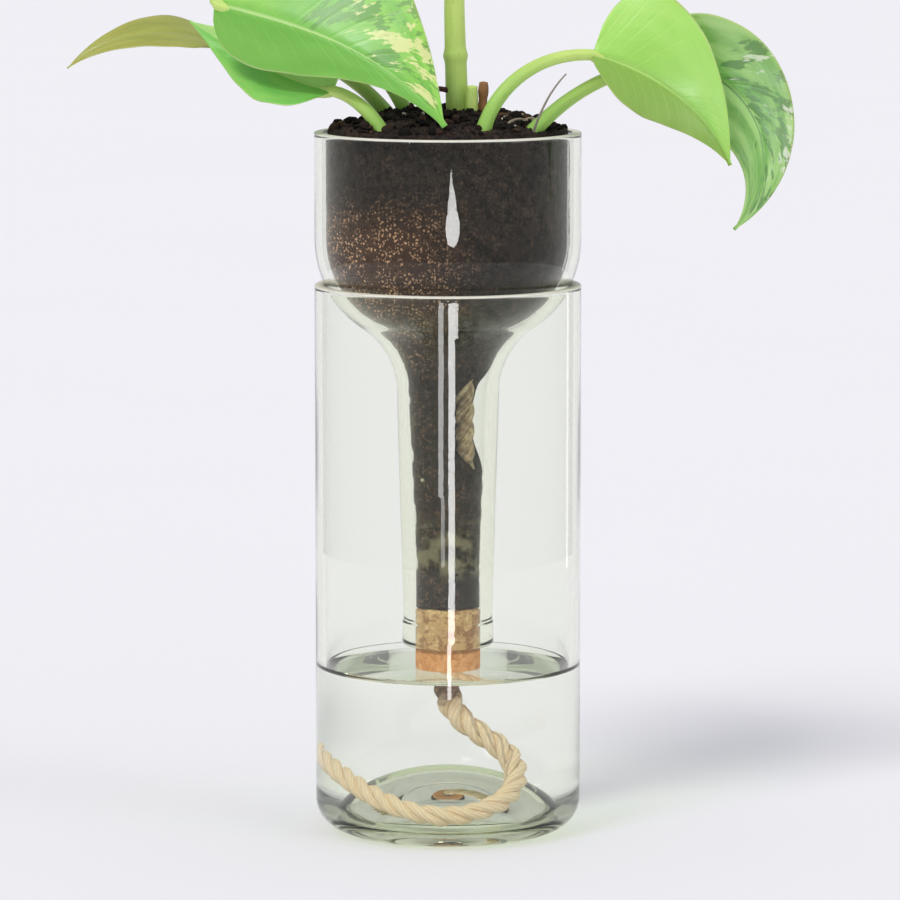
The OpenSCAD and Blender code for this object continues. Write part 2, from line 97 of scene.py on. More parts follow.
# The tail's route, as in the part's source: share of the coil's radius, direction seen from above, and share
# of the height up to the cork. A smoothing script worked these numbers out from points chosen by hand.
TAIL_FLOOR_Z = FLOOR_T + ROPE_R + SOIL_GAP
COIL_R = INSIDE_R - ROPE_R - TAIL_WALL_GAP
TAIL_PLACES = [
    (0, -20, 1), (0, -20, 0.88), (0.046, -16.5, 0.764), (0.142, -16.2, 0.658), (0.276, -16.9, 0.567),
    (0.422, -19.4, 0.478), (0.557, -24.5, 0.381), (0.671, -32.5, 0.279), (0.763, -42.9, 0.185),
    (0.838, -54.6, 0.109), (0.892, -67, 0.055), (0.922, -79.7, 0.021), (0.931, -92.7, 0.01),
    (0.928, -105.8, 0.023), (0.922, -119, 0.059), (0.919, -132.2, 0.111), (0.924, -145.3, 0.168),
    (0.938, -158.2, 0.224), (0.961, -170.8, 0.272), (0.99, 177.1, 0.311), (1.021, 165.4, 0.341)]


def over_punt(r):
    return PUNT_Z + math.sqrt(max(0, (PUNT_SPHERE + PUNT_T + ROPE_R + SOIL_GAP) ** 2 - r * r))


def mound_z(r):
    return MOUND_TOP_Z - MOUND_R + math.sqrt(MOUND_R**2 - r * r)


def polar(r, angle, z):
    return (r * math.cos(math.radians(angle)), r * math.sin(math.radians(angle)), z)


def apart(a, b):
    """Angle between two directions, in degrees."""
    return abs((a - b + 180) % 360 - 180)


TAIL = [polar(s * COIL_R, a, max(over_punt(s * COIL_R), TAIL_FLOOR_Z + h * (CORK_Z - TAIL_FLOOR_Z)))
        for s, a, h in TAIL_PLACES]


# Node helpers
def rgb(r, g, b):
    """Linear colour of an sRGB one, written from 0 to 255."""
    return tuple(c / 12.92 if c <= 0.04045 else ((c + 0.055) / 1.055) ** 2.4
                 for c in (r / 255, g / 255, b / 255)) + (1.0,)


class Nodes:
    def __init__(self, tree):
        self.tree = tree

    def put(self, socket, value):
        if isinstance(value, bpy.types.NodeSocket):
            self.tree.links.new(value, socket)
        elif value is not None:
            socket.default_value = value

    def fill(self, node, inputs):
        for key, value in inputs.items():
            self.put(node.inputs[key.replace("_", " ")], value)
        return node

    def add(self, kind, settings=None, **inputs):
        node = self.tree.nodes.new(kind if kind.startswith("Node") else "ShaderNode" + kind)
        for key, value in (settings or {}).items():
            setattr(node, key, value)
        return self.fill(node, inputs)

    def math(self, operation, a, b=None, c=None):
        node = self.add("Math", {"operation": operation})
        for socket, value in zip(node.inputs, (a, b, c)):
            self.put(socket, value)
        return node.outputs[0]

    def times(self, a, b):
        return self.math("MULTIPLY", a, b)

    def plus(self, a, b):
        return self.math("ADD", a, b)

    def minus(self, a, b):
        return self.math("SUBTRACT", a, b)

    def times_plus(self, a, b, c):
        return self.math("MULTIPLY_ADD", a, b, c)

    def vector(self, operation, a, b=None, scale=None):
        node = self.add("VectorMath", {"operation": operation})
        for socket, value in ((0, a), (1, b), (3, scale)):
            self.put(node.inputs[socket], value)
        return node.outputs[0]

    def place(self):
        return self.add("TexCoord").outputs["Object"]

    def split(self, vector):
        return self.add("SeparateXYZ", Vector=vector).outputs

    def join(self, x, y, z):
        return self.add("CombineXYZ", X=x, Y=y, Z=z).outputs[0]

    def step(self, x, low, high, out_low=0.0, out_high=1.0):
        return self.add("MapRange", {"interpolation_type": "SMOOTHSTEP"}, Value=x, From_Min=low,
                        From_Max=high, To_Min=out_low, To_Max=out_high).outputs[0]

    def ramp(self, fac, *stops):
        node = self.add("ValToRGB", Fac=fac)
        elements = node.color_ramp.elements
        while len(elements) < len(stops):
            elements.new(0.5)
        for element, (place, colour) in zip(elements, stops):
            element.position, element.color = place, colour
        return node.outputs[0]

    def mix(self, fac, a, b):
        node = self.add("Mix", {"data_type": "RGBA"})
        for index, value in ((0, fac), (6, a), (7, b)):
            self.put(node.inputs[index], value)
        return node.outputs[2]

    def noise(self, vector, scale, detail=3.0, rough=0.55):
        return self.add("TexNoise", Vector=vector, Scale=scale, Detail=detail, Roughness=rough).outputs[0]

    def cells(self, vector, scale):
        return self.add("TexVoronoi", Vector=vector, Scale=scale).outputs

    def read(self, name):
        return self.add("Attribute", {"attribute_name": name}).outputs["Vector"]

    def bump(self, height, strength, distance):
        return self.add("Bump", Height=height, Strength=strength, Distance=distance).outputs[0]

    def use(self, group, **inputs):
        node = self.tree.nodes.new("ShaderNodeGroup")
        node.node_tree = group
        return self.fill(node, inputs).outputs


class Material(Nodes):
    """New material with a Principled shader."""

    def __init__(self, name, roughness, **inputs):
        self.made = bpy.data.materials.new(name)
        self.made.use_nodes = True
        super().__init__(self.made.node_tree)
        self.shader = self.tree.nodes["Principled BSDF"]
        self.dress(Roughness=roughness, **inputs)

    def dress(self, **inputs):
        self.fill(self.shader, inputs)
        return self.made

    def let_light_through(self, colour):
        """Shadow rays and rays after a diffuse bounce pass straight, so that light counts once."""
        clear = self.add("BsdfTransparent", Color=colour)
        ray = self.add("LightPath").outputs
        both = self.add("MixShader", Fac=self.math("MAXIMUM", ray["Is Shadow Ray"], ray["Is Diffuse Ray"]))
        self.put(both.inputs[1], self.shader.outputs[0])
        self.put(both.inputs[2], clear.outputs[0])
        self.fill(self.tree.nodes["Material Output"], {"Surface": both.outputs[0]})


def group(name, inputs, outputs):
    """New shader node group: the group, its helper, its inputs and the node that takes its outputs."""
    g = bpy.data.node_groups.new(name, "ShaderNodeTree")
    for key, kind, value in inputs:
        socket = g.interface.new_socket(key, in_out="INPUT", socket_type="NodeSocket" + kind)
        if value is not None:
            socket.default_value = value
    for key, kind in outputs:
        g.interface.new_socket(key, in_out="OUTPUT", socket_type="NodeSocket" + kind)
    n = Nodes(g)
    return g, n, n.add("NodeGroupInput").outputs, n.add("NodeGroupOutput").inputs


# Shared effects
grains, n, i, o = group(
    "grains",
    [("Vector", "Vector", None), ("Size", "Float", 700.0), ("Dark", "Color", None), ("Middle", "Color", None),
     ("Light", "Color", None)],
    [("Color", "Color"), ("Height", "Float")])
warp = n.add("TexNoise", Vector=i["Vector"], Scale=260.0, Detail=2.0).outputs[1]
warped = n.vector("ADD", i["Vector"], n.vector("SCALE", warp, scale=0.0016))
big = n.cells(warped, i["Size"])
small = n.cells(warped, n.times(i["Size"], 2.7))
tone = n.plus(n.times(n.split(big[1])[0], 0.6), n.times(n.split(small[1])[1], 0.4))
cloud = n.noise(i["Vector"], n.times(i["Size"], 0.12), 4.0)
tone = n.plus(tone, n.times(n.minus(cloud, 0.5), 0.7))
colour = n.mix(n.step(tone, 0.2, 0.62), i["Dark"], i["Middle"])
n.put(o["Color"], n.mix(n.step(tone, 0.74, 0.92), colour, i["Light"]))
n.put(o["Height"], n.minus(n.times(n.plus(tone, cloud), 0.5), n.times(big[0], 0.6)))

leaf_marks, n, i, o = group(
    "leaf_marks",
    [("Leaf", "Vector", None), ("Seed", "Float", 0.0), ("Amount", "Float", 0.5)],
    [("Rib", "Float"), ("Vein", "Float"), ("Streak", "Float"), ("Cloud", "Float"), ("Height", "Float")])
VEINS = 13
u, v, w = n.split(i["Leaf"])
away = n.math("ABSOLUTE", v)
rib_w = n.times_plus(n.minus(1.0, u), 0.012, 0.007)
n.put(o["Rib"], n.step(n.math("DIVIDE", away, rib_w), 1.5, 0.3))
wave = n.times_plus(n.math("COSINE", n.times(w, 2 * math.pi * VEINS)), 0.5, 0.5)
vein = n.times(n.math("POWER", wave, 14.0), n.step(away, 0.98, 0.55))
n.put(o["Vein"], vein)
streak_at = n.join(n.times(w, 7.0), n.times(away, 1.1), n.times_plus(n.math("SIGN", v), 3.7, i["Seed"]))
streaks = n.noise(streak_at, 1.9, 4.0, 0.62)
fine = n.noise(n.join(n.times(w, 60.0), n.times(away, 3.0), i["Seed"]), 1.0, 3.0, 0.6)
mask = n.times_plus(n.minus(fine, 0.5), 0.35, streaks)
level = n.minus(1.0, i["Amount"])
n.put(o["Streak"], n.step(mask, level, n.plus(level, 0.05)))
n.put(o["Cloud"], n.noise(n.join(u, v, i["Seed"]), 3.2, 3.0))
n.put(o["Height"], n.plus(n.times(vein, -0.2), n.times(fine, 0.25)))


# Materials
def glass_material():
    n = Material("bottle_glass", 0.0, Base_Color=(0.99, 0.995, 0.985, 1), IOR=1.48, Transmission_Weight=1.0,
                 Specular_Tint=(0.42, 0.42, 0.42, 1))
    place = n.place()
    smears = n.step(n.noise(place, 38.0, 5.0, 0.65), 0.6, 0.85, 0.0, 0.035)
    waves = n.noise(n.vector("MULTIPLY", place, (1.0, 1.0, 0.35)), 26.0, 2.0)
    n.let_light_through((0.95, 0.97, 0.94, 1))
    absorb = n.add("VolumeAbsorption", Color=(0.82, 0.87, 0.54, 1), Density=34.0)
    n.fill(n.tree.nodes["Material Output"], {"Volume": absorb.outputs[0]})
    return n.dress(Roughness=smears, Normal=n.bump(waves, 0.05, 0.004))


def ground_glass_material():
    """Cut edge of the bottle, ground matt."""
    n = Material("ground_glass", 0.6, Specular_IOR_Level=0.5)
    place = n.place()
    return n.dress(Base_Color=n.mix(n.noise(place, 240.0, 3.0), rgb(246, 242, 230), rgb(214, 212, 198)),
                   Normal=n.bump(n.noise(place, 1600.0, 3.0), 0.4, 0.0003))


def water_material():
    n = Material("water", 0.0, Base_Color=(0.99, 0.995, 0.99, 1), IOR=1.333, Transmission_Weight=1.0)
    place = n.place()
    n.let_light_through((0.98, 0.99, 0.98, 1))
    return n.dress(Roughness=n.step(n.noise(place, 60.0, 2.0), 0.7, 0.9, 0.0, 0.01),
                   Normal=n.bump(n.noise(place, 30.0, 1.0), 0.02, 0.002))


def soil_material():
    """Dark soil with a warm, speckled patch at the left and pale patches low in the neck."""
    n = Material("potting_soil", 0.92, Specular_IOR_Level=0.25)
    place = n.place()
    grain = n.use(grains, Vector=place, Size=560.0, Dark=rgb(20, 15, 14), Middle=rgb(42, 33, 30),
                  Light=rgb(66, 49, 42))
    x, y, z = n.split(place)
    side = n.times_plus(n.noise(place, 45.0, 2.0), 0.03, n.times(x, 0.8))
    warm = n.times(n.step(z, 0.184, 0.168), n.step(side, 0.026, -0.002))
    warm = n.times(warm, n.step(z, 0.125, 0.14, 0.3, 1.0))
    dots = []
    for size, share in ((1000.0, 0.35), (1750.0, 0.5)):
        cell = n.cells(place, size)
        chosen = n.step(n.split(cell[1])[0], share, share + 0.15)
        dots.append(n.times(n.step(cell[0], 0.42, 0.24), chosen))
    specks = n.times(n.math("MAXIMUM", dots[0], dots[1]), n.step(n.noise(place, 210.0, 3.0), 0.36, 0.52))
    colour = n.mix(n.times(warm, 0.5), grain["Color"], rgb(92, 62, 50))
    colour = n.mix(n.times(n.times_plus(warm, 0.88, 0.04), specks), colour, rgb(226, 178, 142))
    low = n.times(n.step(z, 0.071, 0.076), n.step(z, 0.091, 0.085))
    pale = n.times(low, n.step(n.noise(place, 170.0, 4.0, 0.6), 0.42, 0.6))
    height = n.plus(grain["Height"], n.times(n.noise(place, 900.0, 3.0, 0.6), 0.3))
    return n.dress(Base_Color=n.mix(n.times(pale, 0.8), colour, rgb(142, 130, 108)),
                   Normal=n.bump(height, 0.6, 0.0012))


def crumb_material():
    n = Material("soil_crumbs", 0.93, Specular_IOR_Level=0.25)
    place = n.place()
    base = n.ramp(n.split(n.read("tone"))[0], (0.0, rgb(16, 12, 12)), (0.5, rgb(34, 26, 24)),
                  (0.8, rgb(56, 42, 36)), (0.95, rgb(86, 62, 48)), (1.0, rgb(140, 104, 76)))
    spots = n.step(n.noise(place, 1700.0, 4.0, 0.7), 0.62, 0.4, 0.0, 0.55)
    return n.dress(Base_Color=n.mix(spots, base, rgb(14, 11, 11)),
                   Normal=n.bump(n.noise(place, 2600.0, 4.0, 0.7), 0.8, 0.0005))


def perlite_material():
    n = Material("perlite", 0.85)
    pits = n.cells(n.place(), 2200.0)[0]
    return n.dress(Base_Color=n.ramp(pits, (0.0, rgb(226, 222, 214)), (0.5, rgb(206, 200, 190)),
                                     (1.0, rgb(150, 142, 130))),
                   Normal=n.bump(pits, 0.6, 0.0004))


def cork_material():
    """Cork, warmer below the lip, with a painted shadow line just under the glass lip and wet at its lower
    end.
    """
    n = Material("cork", 0.85, Specular_IOR_Level=0.3)
    place = n.place()
    grain = n.use(grains, Vector=place, Size=620.0, Dark=rgb(170, 118, 82), Middle=rgb(218, 172, 130),
                  Light=rgb(238, 200, 158))
    z = n.split(place)[2]
    below = n.step(z, 0.0524, 0.0514)
    colour = n.mix(below, grain["Color"], n.mix(0.55, grain["Color"], rgb(242, 164, 104)))
    # Dark band just under the glass lip: a painted shadow of the lip.
    lip_shadow_line = n.times(n.step(z, 0.0528, 0.0521), n.step(z, 0.0508, 0.0515))
    colour = n.mix(n.times(lip_shadow_line, 0.65), colour, rgb(128, 82, 52))
    pores = n.step(n.noise(n.vector("MULTIPLY", place, (1.0, 1.0, 2.4)), 520.0, 3.0, 0.6), 0.66, 0.73)
    height = n.minus(grain["Height"], n.times(pores, 0.8))
    return n.dress(Base_Color=n.mix(pores, colour, rgb(96, 62, 40)), Normal=n.bump(height, 0.5, 0.0008),
                   Roughness=n.step(z, 0.0462, 0.0485, 0.45, 0.88))


def rope_material():
    """Cotton yarns from the rope's own coordinates: length along it, turn round a strand, and how much it is
    darkened.
    """
    n = Material("cotton_rope", 0.95, Sheen_Weight=0.25, Sheen_Roughness=0.5, Specular_IOR_Level=0.2)
    place = n.place()
    along, turn, darkening = n.split(n.read("rope"))
    yarn = n.plus(n.times(turn, 7.0), n.times(along, -2400.0))
    yarn = n.plus(yarn, n.times(n.noise(place, 420.0, 2.0), 2.4))
    ridge = n.times_plus(n.math("SINE", yarn), 0.5, 0.5)
    fibre = n.noise(n.join(n.times(turn, 9.0), n.times(along, 900.0), 0.0), 2.0, 4.0, 0.7)
    # Darker where the yarn ridge is low: a painted shade in the grooves between yarns.
    colour = n.mix(n.times(n.step(ridge, 0.5, 0.05), 0.5), rgb(254, 230, 198), rgb(232, 192, 156))
    colour = n.mix(n.step(n.noise(place, 130.0, 3.0), 0.35, 0.75, 0.0, 0.4), colour, rgb(246, 212, 176))
    colour = n.mix(n.times(n.step(fibre, 0.55, 0.75), 0.35), colour, rgb(255, 244, 224))
    blotch = n.plus(darkening, n.times(n.minus(n.noise(place, 520.0, 3.0), 0.5), 0.7))
    darkened = n.times(n.step(blotch, 0.35, 0.75), 0.85)
    return n.dress(Base_Color=n.mix(darkened, colour, rgb(104, 66, 50)),
                   Normal=n.bump(n.plus(ridge, n.times(fibre, 0.7)), 0.7, 0.00035))


def stem_material(name, low, high, dark, shine=0.4):
    """Fibrous stem from its own coordinates: share of its length, turn round it, seed."""
    n = Material(name, shine, Coat_Weight=0.08, Coat_Roughness=0.3, Subsurface_Weight=0.08,
                 Subsurface_Scale=0.002)
    share, turn, seed = n.split(n.read("stem"))
    lines = n.noise(n.join(n.times(turn, 3.2), n.times(share, 2.2), seed), 3.0, 4.0, 0.65)
    spots = n.noise(n.place(), 420.0, 4.0, 0.6)
    colour = n.mix(n.step(share, 0.0, 0.4), low, high)
    colour = n.mix(n.step(lines, 0.42, 0.75, 0.0, 0.45), colour, dark)
    return n.dress(Base_Color=n.mix(n.step(spots, 0.62, 0.78, 0.0, 0.55), colour, dark),
                   Normal=n.bump(n.plus(lines, n.times(spots, 0.3)), 0.45, 0.0005),
                   Roughness=n.step(spots, 0.3, 0.8, shine, shine + 0.2))


def leaf_material(name, deep, light, cream, seed, amount, mottle=None, low=None, streaks=(0.0, 1.0),
                  rib=rgb(214, 226, 140)):
    """Waxy blade with side veins and streaks, from its own coordinates: along, across and vein.

    low colours the half below the midrib, a painted shade on the bright leaf and painted light on the left
    one, and streaks says from where to where along the blade they are thick. The underside is paler.
    """
    shine = 0.36
    n = Material(name, shine, Coat_Weight=0.12, Coat_Roughness=0.22, Subsurface_Weight=0.12,
                 Subsurface_Scale=0.002, Specular_IOR_Level=0.45)
    place = n.read("leaf")
    under = n.split(n.read("leaf_side"))[0]
    u, v, w = n.split(place)
    upper = n.step(v, -0.1, 0.12)
    start, end = streaks
    thick = n.times(n.step(u, start - 0.06, start + 0.1), n.step(u, end + 0.12, end - 0.06))
    thick = n.times_plus(n.times(thick, n.times_plus(upper, 0.5, 0.5)), 0.75, 0.25)
    mark = n.use(leaf_marks, Leaf=place, Seed=seed, Amount=n.times(thick, amount))
    colour = n.mix(n.step(mark["Cloud"], 0.3, 0.7), deep, light)
    # On the bright leaf low is a painted shade on its lower half, on the left leaf painted light on its shaded
    # inner half.
    if low:
        colour = n.mix(n.times_plus(upper, -0.85, 0.85), colour, low)
    if mottle:
        more = n.use(leaf_marks, Leaf=place, Seed=seed + 9.3, Amount=n.times(thick, mottle[1]))
        colour = n.mix(n.times(more["Streak"], 0.8), colour, mottle[0])
    colour = n.mix(n.times(mark["Streak"], 0.85), colour, cream)
    colour = n.mix(n.times(mark["Vein"], 0.14), colour, light)
    colour = n.mix(n.times(mark["Rib"], 0.85), colour, rib)
    colour = n.mix(n.step(n.math("ABSOLUTE", v), 0.955, 0.995, 0.0, 0.5), colour, rgb(206, 214, 150))
    return n.dress(Base_Color=n.mix(n.times(under, 0.35), colour, rgb(176, 200, 142)),
                   Roughness=n.step(mark["Cloud"], 0.2, 0.8, shine - 0.05, shine + 0.1),
                   Normal=n.bump(mark["Height"], 0.35, 0.0006))


GLASS, WATER, SOIL, CRUMB = glass_material(), water_material(), soil_material(), crumb_material()
PERLITE, CORK, ROPE, GROUND = perlite_material(), cork_material(), rope_material(), ground_glass_material()
STEM = stem_material("green_stem", rgb(190, 222, 112), rgb(222, 242, 136), rgb(162, 200, 92))
PETIOLE = stem_material("petiole", rgb(152, 202, 88), rgb(212, 238, 130), rgb(136, 186, 78))
OLIVE_STEM = stem_material("olive_petiole", rgb(136, 178, 78), rgb(164, 170, 78), rgb(132, 140, 60))
DRY = stem_material("dry_stem", rgb(128, 84, 54), rgb(160, 112, 72), rgb(70, 44, 30), 0.75)
FIBRE = stem_material("dry_fibre", rgb(112, 104, 96), rgb(150, 142, 130), rgb(70, 62, 56), 0.8)
ROOT = stem_material("aerial_root", rgb(96, 44, 40), rgb(74, 28, 32), rgb(44, 18, 20), 0.6)
WHITE_ROOT = stem_material("white_root", rgb(206, 196, 176), rgb(186, 172, 146), rgb(140, 120, 96), 0.7)


# Mesh helpers
def add_piece(name, verts, faces, mat, body, slot=None, replaces=(), attributes=None):
    """New smooth mesh from points in millimetres, riding on its body, with its faces turned outwards."""
    co = np.asarray(verts, float)
    mesh = bpy.data.meshes.new(name)
    mesh.from_pydata((co * MM).tolist(), [], faces)
    volume = 0.0
    for f in faces:
        for k in range(1, len(f) - 1):
            volume += float(np.dot(co[f[0]], np.cross(co[f[k]], co[f[k + 1]])))
    if volume < 0:
        mesh.flip_normals()
    mesh.polygons.foreach_set("use_smooth", [True] * len(mesh.polygons))
    for key, values in (attributes or {}).items():
        values = np.asarray(values, np.float32)
        if values.ndim == 1:
            values = np.stack([values, values * 0, values * 0], axis=1)
        mesh.attributes.new(key, "FLOAT_VECTOR", "POINT").data.foreach_set("vector", values.ravel())
    mesh.materials.append(mat)
    mesh.update()
    obj = show(name, mesh)
    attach(obj, body)
    if replaces:
        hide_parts(*replaces)
    return obj


def ring_faces(rings, sides, start=0):
    """Faces between stacked rings of points."""
    return [(a + k, a + (k + 1) % sides, a + sides + (k + 1) % sides, a + sides + k)
            for a in range(start, start + (rings - 1) * sides, sides) for k in range(sides)]


def fan(tip, start, sides, turned):
    """Faces that close a ring of points with one in its middle."""
    pairs = [(start + k, start + (k + 1) % sides) for k in range(sides)]
    return [(tip, *(pair[::-1] if turned else pair)) for pair in pairs]


def run_along(points):
    """Length from a path's start to each of its points."""
    return np.concatenate([[0], np.cumsum(np.linalg.norm(np.diff(points, axis=0), axis=1))])


def arc(x, z, r, start, end, count):
    return [(x + r * math.cos(math.radians(start + (end - start) * k / count)),
             z + r * math.sin(math.radians(start + (end - start) * k / count))) for k in range(count + 1)]


def joined(*stretches, longest=6.0, edge=0.35):
    """One profile from stretches of points, with long straight runs divided and held flat near their ends."""
    points = [p for s in stretches for p in s]
    out = [points[0]]
    for a, b in zip(points, points[1:]):
        d = math.dist(a, b)
        if d < 1e-6:
            continue
        if d > 1.6:
            count = max(1, round((d - 2 * edge) / longest))
            shares = [edge / d + (1 - 2 * edge / d) * k / count for k in range(count + 1)]
            out += [(a[0] + (b[0] - a[0]) * s, a[1] + (b[1] - a[1]) * s) for s in shares]
        out.append(b)
    return out


def lathe(profile, sides=180):
    """Closed solid of revolution round Z. Its profile starts and ends on the axis or closes on itself."""
    verts, rings, faces = [], [], []
    angles = [2 * math.pi * k / sides for k in range(sides)]
    for r, z in profile:
        start = len(verts)
        if r < 1e-6:
            verts.append((0, 0, z))
            rings.append([start])
        else:
            verts += [(r * math.cos(a), r * math.sin(a), z) for a in angles]
            rings.append(list(range(start, start + sides)))
    pairs = list(zip(rings, rings[1:]))
    if len(rings[0]) > 1:
        pairs.append((rings[-1], rings[0]))
    for a, b in pairs:
        for k in range(sides):
            m = (k + 1) % sides
            if len(a) == 1:
                faces.append((a[0], b[k], b[m]))
            elif len(b) == 1:
                faces.append((a[m], a[k], b[0]))
            else:
                faces.append((a[k], b[k], b[m], a[m]))
    return verts, faces


def frames(path):
    """Tangent and untwisted sideways and upright directions at each point of a path."""
    p = np.asarray(path, float)
    t = np.gradient(p, axis=0)
    t /= np.linalg.norm(t, axis=1)[:, None]
    side = np.cross(t[0], (0.3, 1, 0.1))
    out = []
    for d in t:
        side = side - d * np.dot(side, d)
        side /= np.linalg.norm(side)
        out.append((d, side.copy(), np.cross(d, side)))
    return out


def smooth_path(points, step):
    """Even points along a Catmull-Rom curve through the given ones."""
    p = np.asarray(points, float)
    ends = np.vstack([2 * p[0] - p[1], p, 2 * p[-1] - p[-2]])
    fine = []
    for k in range(1, len(ends) - 2):
        a, b, c, d = ends[k - 1:k + 3]
        for s in np.linspace(0, 1, 12, endpoint=False):
            fine.append(0.5 * (2 * b + (c - a) * s + (2 * a - 5 * b + 4 * c - d) * s**2
                               + (3 * b - a - 3 * c + d) * s**3))
    fine = np.array(fine + [p[-1]])
    run = run_along(fine)
    at = np.linspace(0, run[-1], max(2, round(run[-1] / step)) + 1)
    return np.stack([np.interp(at, run, fine[:, k]) for k in range(3)], axis=1)


def tube(path, radius, sides, shape):
    """Tube along a path. radius(t) is its radius at share t, and shape(t, angle) scales it round a ring."""
    verts, turn, share = [], [], []
    last = len(path) - 1
    basis = frames(path)
    for k, (point, (d, s, up)) in enumerate(zip(path, basis)):
        t = k / last
        for j in range(sides):
            a = 2 * math.pi * j / sides
            r = radius(t) * shape(t, a)
            verts.append(np.asarray(point) + r * (math.cos(a) * s + math.sin(a) * up))
            turn.append(a)
            share.append(t)
    faces = ring_faces(last + 1, sides)
    for k, way in ((0, -1), (last, 1)):
        faces += fan(len(verts), k * sides, sides, k == 0)
        verts.append(np.asarray(path[k]) + way * 0.25 * radius(k / last) * basis[k][0])
        turn.append(0)
        share.append(k / last)
    return verts, faces, np.array(share), np.array(turn)


# Glass
def reservoir_profile():
    edge_x = math.sqrt((PUNT_SPHERE + PUNT_EDGE) ** 2 - (PUNT_EDGE - PUNT_Z) ** 2)
    edge_angle = math.degrees(math.atan2(PUNT_EDGE - PUNT_Z, edge_x))
    dome = PUNT_SPHERE + PUNT_T
    dome_angle = math.degrees(math.asin((FLOOR_T - PUNT_Z) / dome))
    return joined(
        arc(0, PUNT_Z, PUNT_SPHERE, 90, edge_angle, 40),
        arc(edge_x, PUNT_EDGE, PUNT_EDGE, 180 + edge_angle, 270, 8),
        arc(BOTTLE_R - HEEL_R, HEEL_R, HEEL_R, 270, 360, 24),
        arc(BOTTLE_R - RIM, RESERVOIR_H - RIM, RIM, 0, 90, 8),
        arc(INSIDE_R + RIM, RESERVOIR_H - RIM, RIM, 90, 180, 8),
        arc(INSIDE_R - HEEL_IN_R, FLOOR_T + HEEL_IN_R, HEEL_IN_R, 0, -90, 18),
        arc(0, PUNT_Z, dome, dome_angle, 90, 40))


def pot_inside(inset, bottom_z):
    """Inside of the pot from its straight part down to bottom_z, drawn in by inset."""
    return joined(
        arc(SHOULDER_X, SHOULDER_Z, SHOULDER_R - WALL - inset, 0, TANGENT, 24),
        arc(THROAT_X, THROAT_Z, THROAT_R + WALL + inset, 180 + TANGENT, 180, 16),
        [(BORE_R - inset, LIP_Z + BORE_L), (BORE_R - inset, bottom_z)])


def pot_profile():
    ring_z, bevel = LIP_Z + LIP_RING_H, 0.3
    outside = joined(
        arc(LIP_RING_R - LIP_ROUND, LIP_Z + LIP_ROUND, LIP_ROUND, -90, 0, 6),
        [(LIP_RING_R, ring_z - bevel), (LIP_RING_R - bevel, ring_z), (NECK_LOW_R, ring_z)],
        arc(THROAT_X, THROAT_Z, THROAT_R, 180, 180 + TANGENT, 16),
        arc(SHOULDER_X, SHOULDER_Z, SHOULDER_R, TANGENT, 0, 28),
        arc(BOTTLE_R - RIM, RIM_Z - RIM, RIM, 0, 90, 8))
    inside = joined(arc(BOTTLE_R - WALL + RIM, RIM_Z - RIM, RIM, 90, 180, 8), pot_inside(0, LIP_Z))
    return joined(outside, inside)


def cut_edge(top):
    """Thin cap over a rim, just proud of the glass."""
    proud, over = BOTTLE_R + 0.03, top + 0.02
    return [(proud, top - 0.5), (proud, top - 0.25), (BOTTLE_R - 0.22, over), (BOTTLE_R - WALL + 0.5, over),
            (BOTTLE_R - WALL + 0.35, top - 0.15), (BOTTLE_R - 0.3, top - 0.5)]


for node, profile, top, body in (("reservoir", reservoir_profile(), RESERVOIR_H, "base"),
                                 ("pot", pot_profile(), RIM_Z, "planting_pot")):
    add_piece(node + "_glass", *lathe(profile), GLASS, body, "glass", [node])
    add_piece(node + "_cut_edge", *lathe(cut_edge(top)), GROUND, body, "glass")


def water_profile():
    """Let a little way into the glass, with its meniscus at the wall."""
    dome = PUNT_SPHERE + PUNT_T - INTO_GLASS
    dome_angle = math.degrees(math.asin((FLOOR_T - INTO_GLASS - PUNT_Z) / dome))
    return joined(
        arc(0, PUNT_Z, dome, 90, dome_angle, 36),
        arc(INSIDE_R - HEEL_IN_R, FLOOR_T + HEEL_IN_R, HEEL_IN_R + INTO_GLASS, -90, 0, 18),
        [(INSIDE_R + INTO_GLASS, WATER_Z + MENISCUS_H)],
        [(INSIDE_R - 0.02 - MENISCUS_W * s, WATER_Z + MENISCUS_H * (1 - s) ** 3)
         for s in (0, 0.12, 0.25, 0.4, 0.6, 0.8, 1)],
        [(0, WATER_Z)])


add_piece("water", *lathe(water_profile()), WATER, "base")


# Soil: a grid wrapped on the pot's inside and broken up by noise
def soil_outline(rows):
    """Even points from the bottom's middle up the glass and over the mound, and their outward slope."""
    edge_z = RIM_Z + SOIL_EDGE_H
    top_r = SOIL_R - 0.9
    outline = [(0.01, SOIL_Z)] + [p for p in pot_inside(SOIL_GAP, SOIL_Z)[::-1] if p[1] < RIM_Z - 2]
    outline += [(SOIL_R, RIM_Z - 2), (SOIL_R - 0.2, edge_z - 0.6)]
    outline += [(r, mound_z(r)) for r in [top_r - top_r * k / 50 for k in range(51)]]
    p = np.array(outline)
    run = run_along(p)
    at = np.linspace(0, run[-1], rows)
    rs, zs = np.interp(at, run, p[:, 0]), np.interp(at, run, p[:, 1])
    slope = np.stack([np.gradient(zs), -np.gradient(rs)])
    return rs, zs, slope / np.linalg.norm(slope, axis=0)


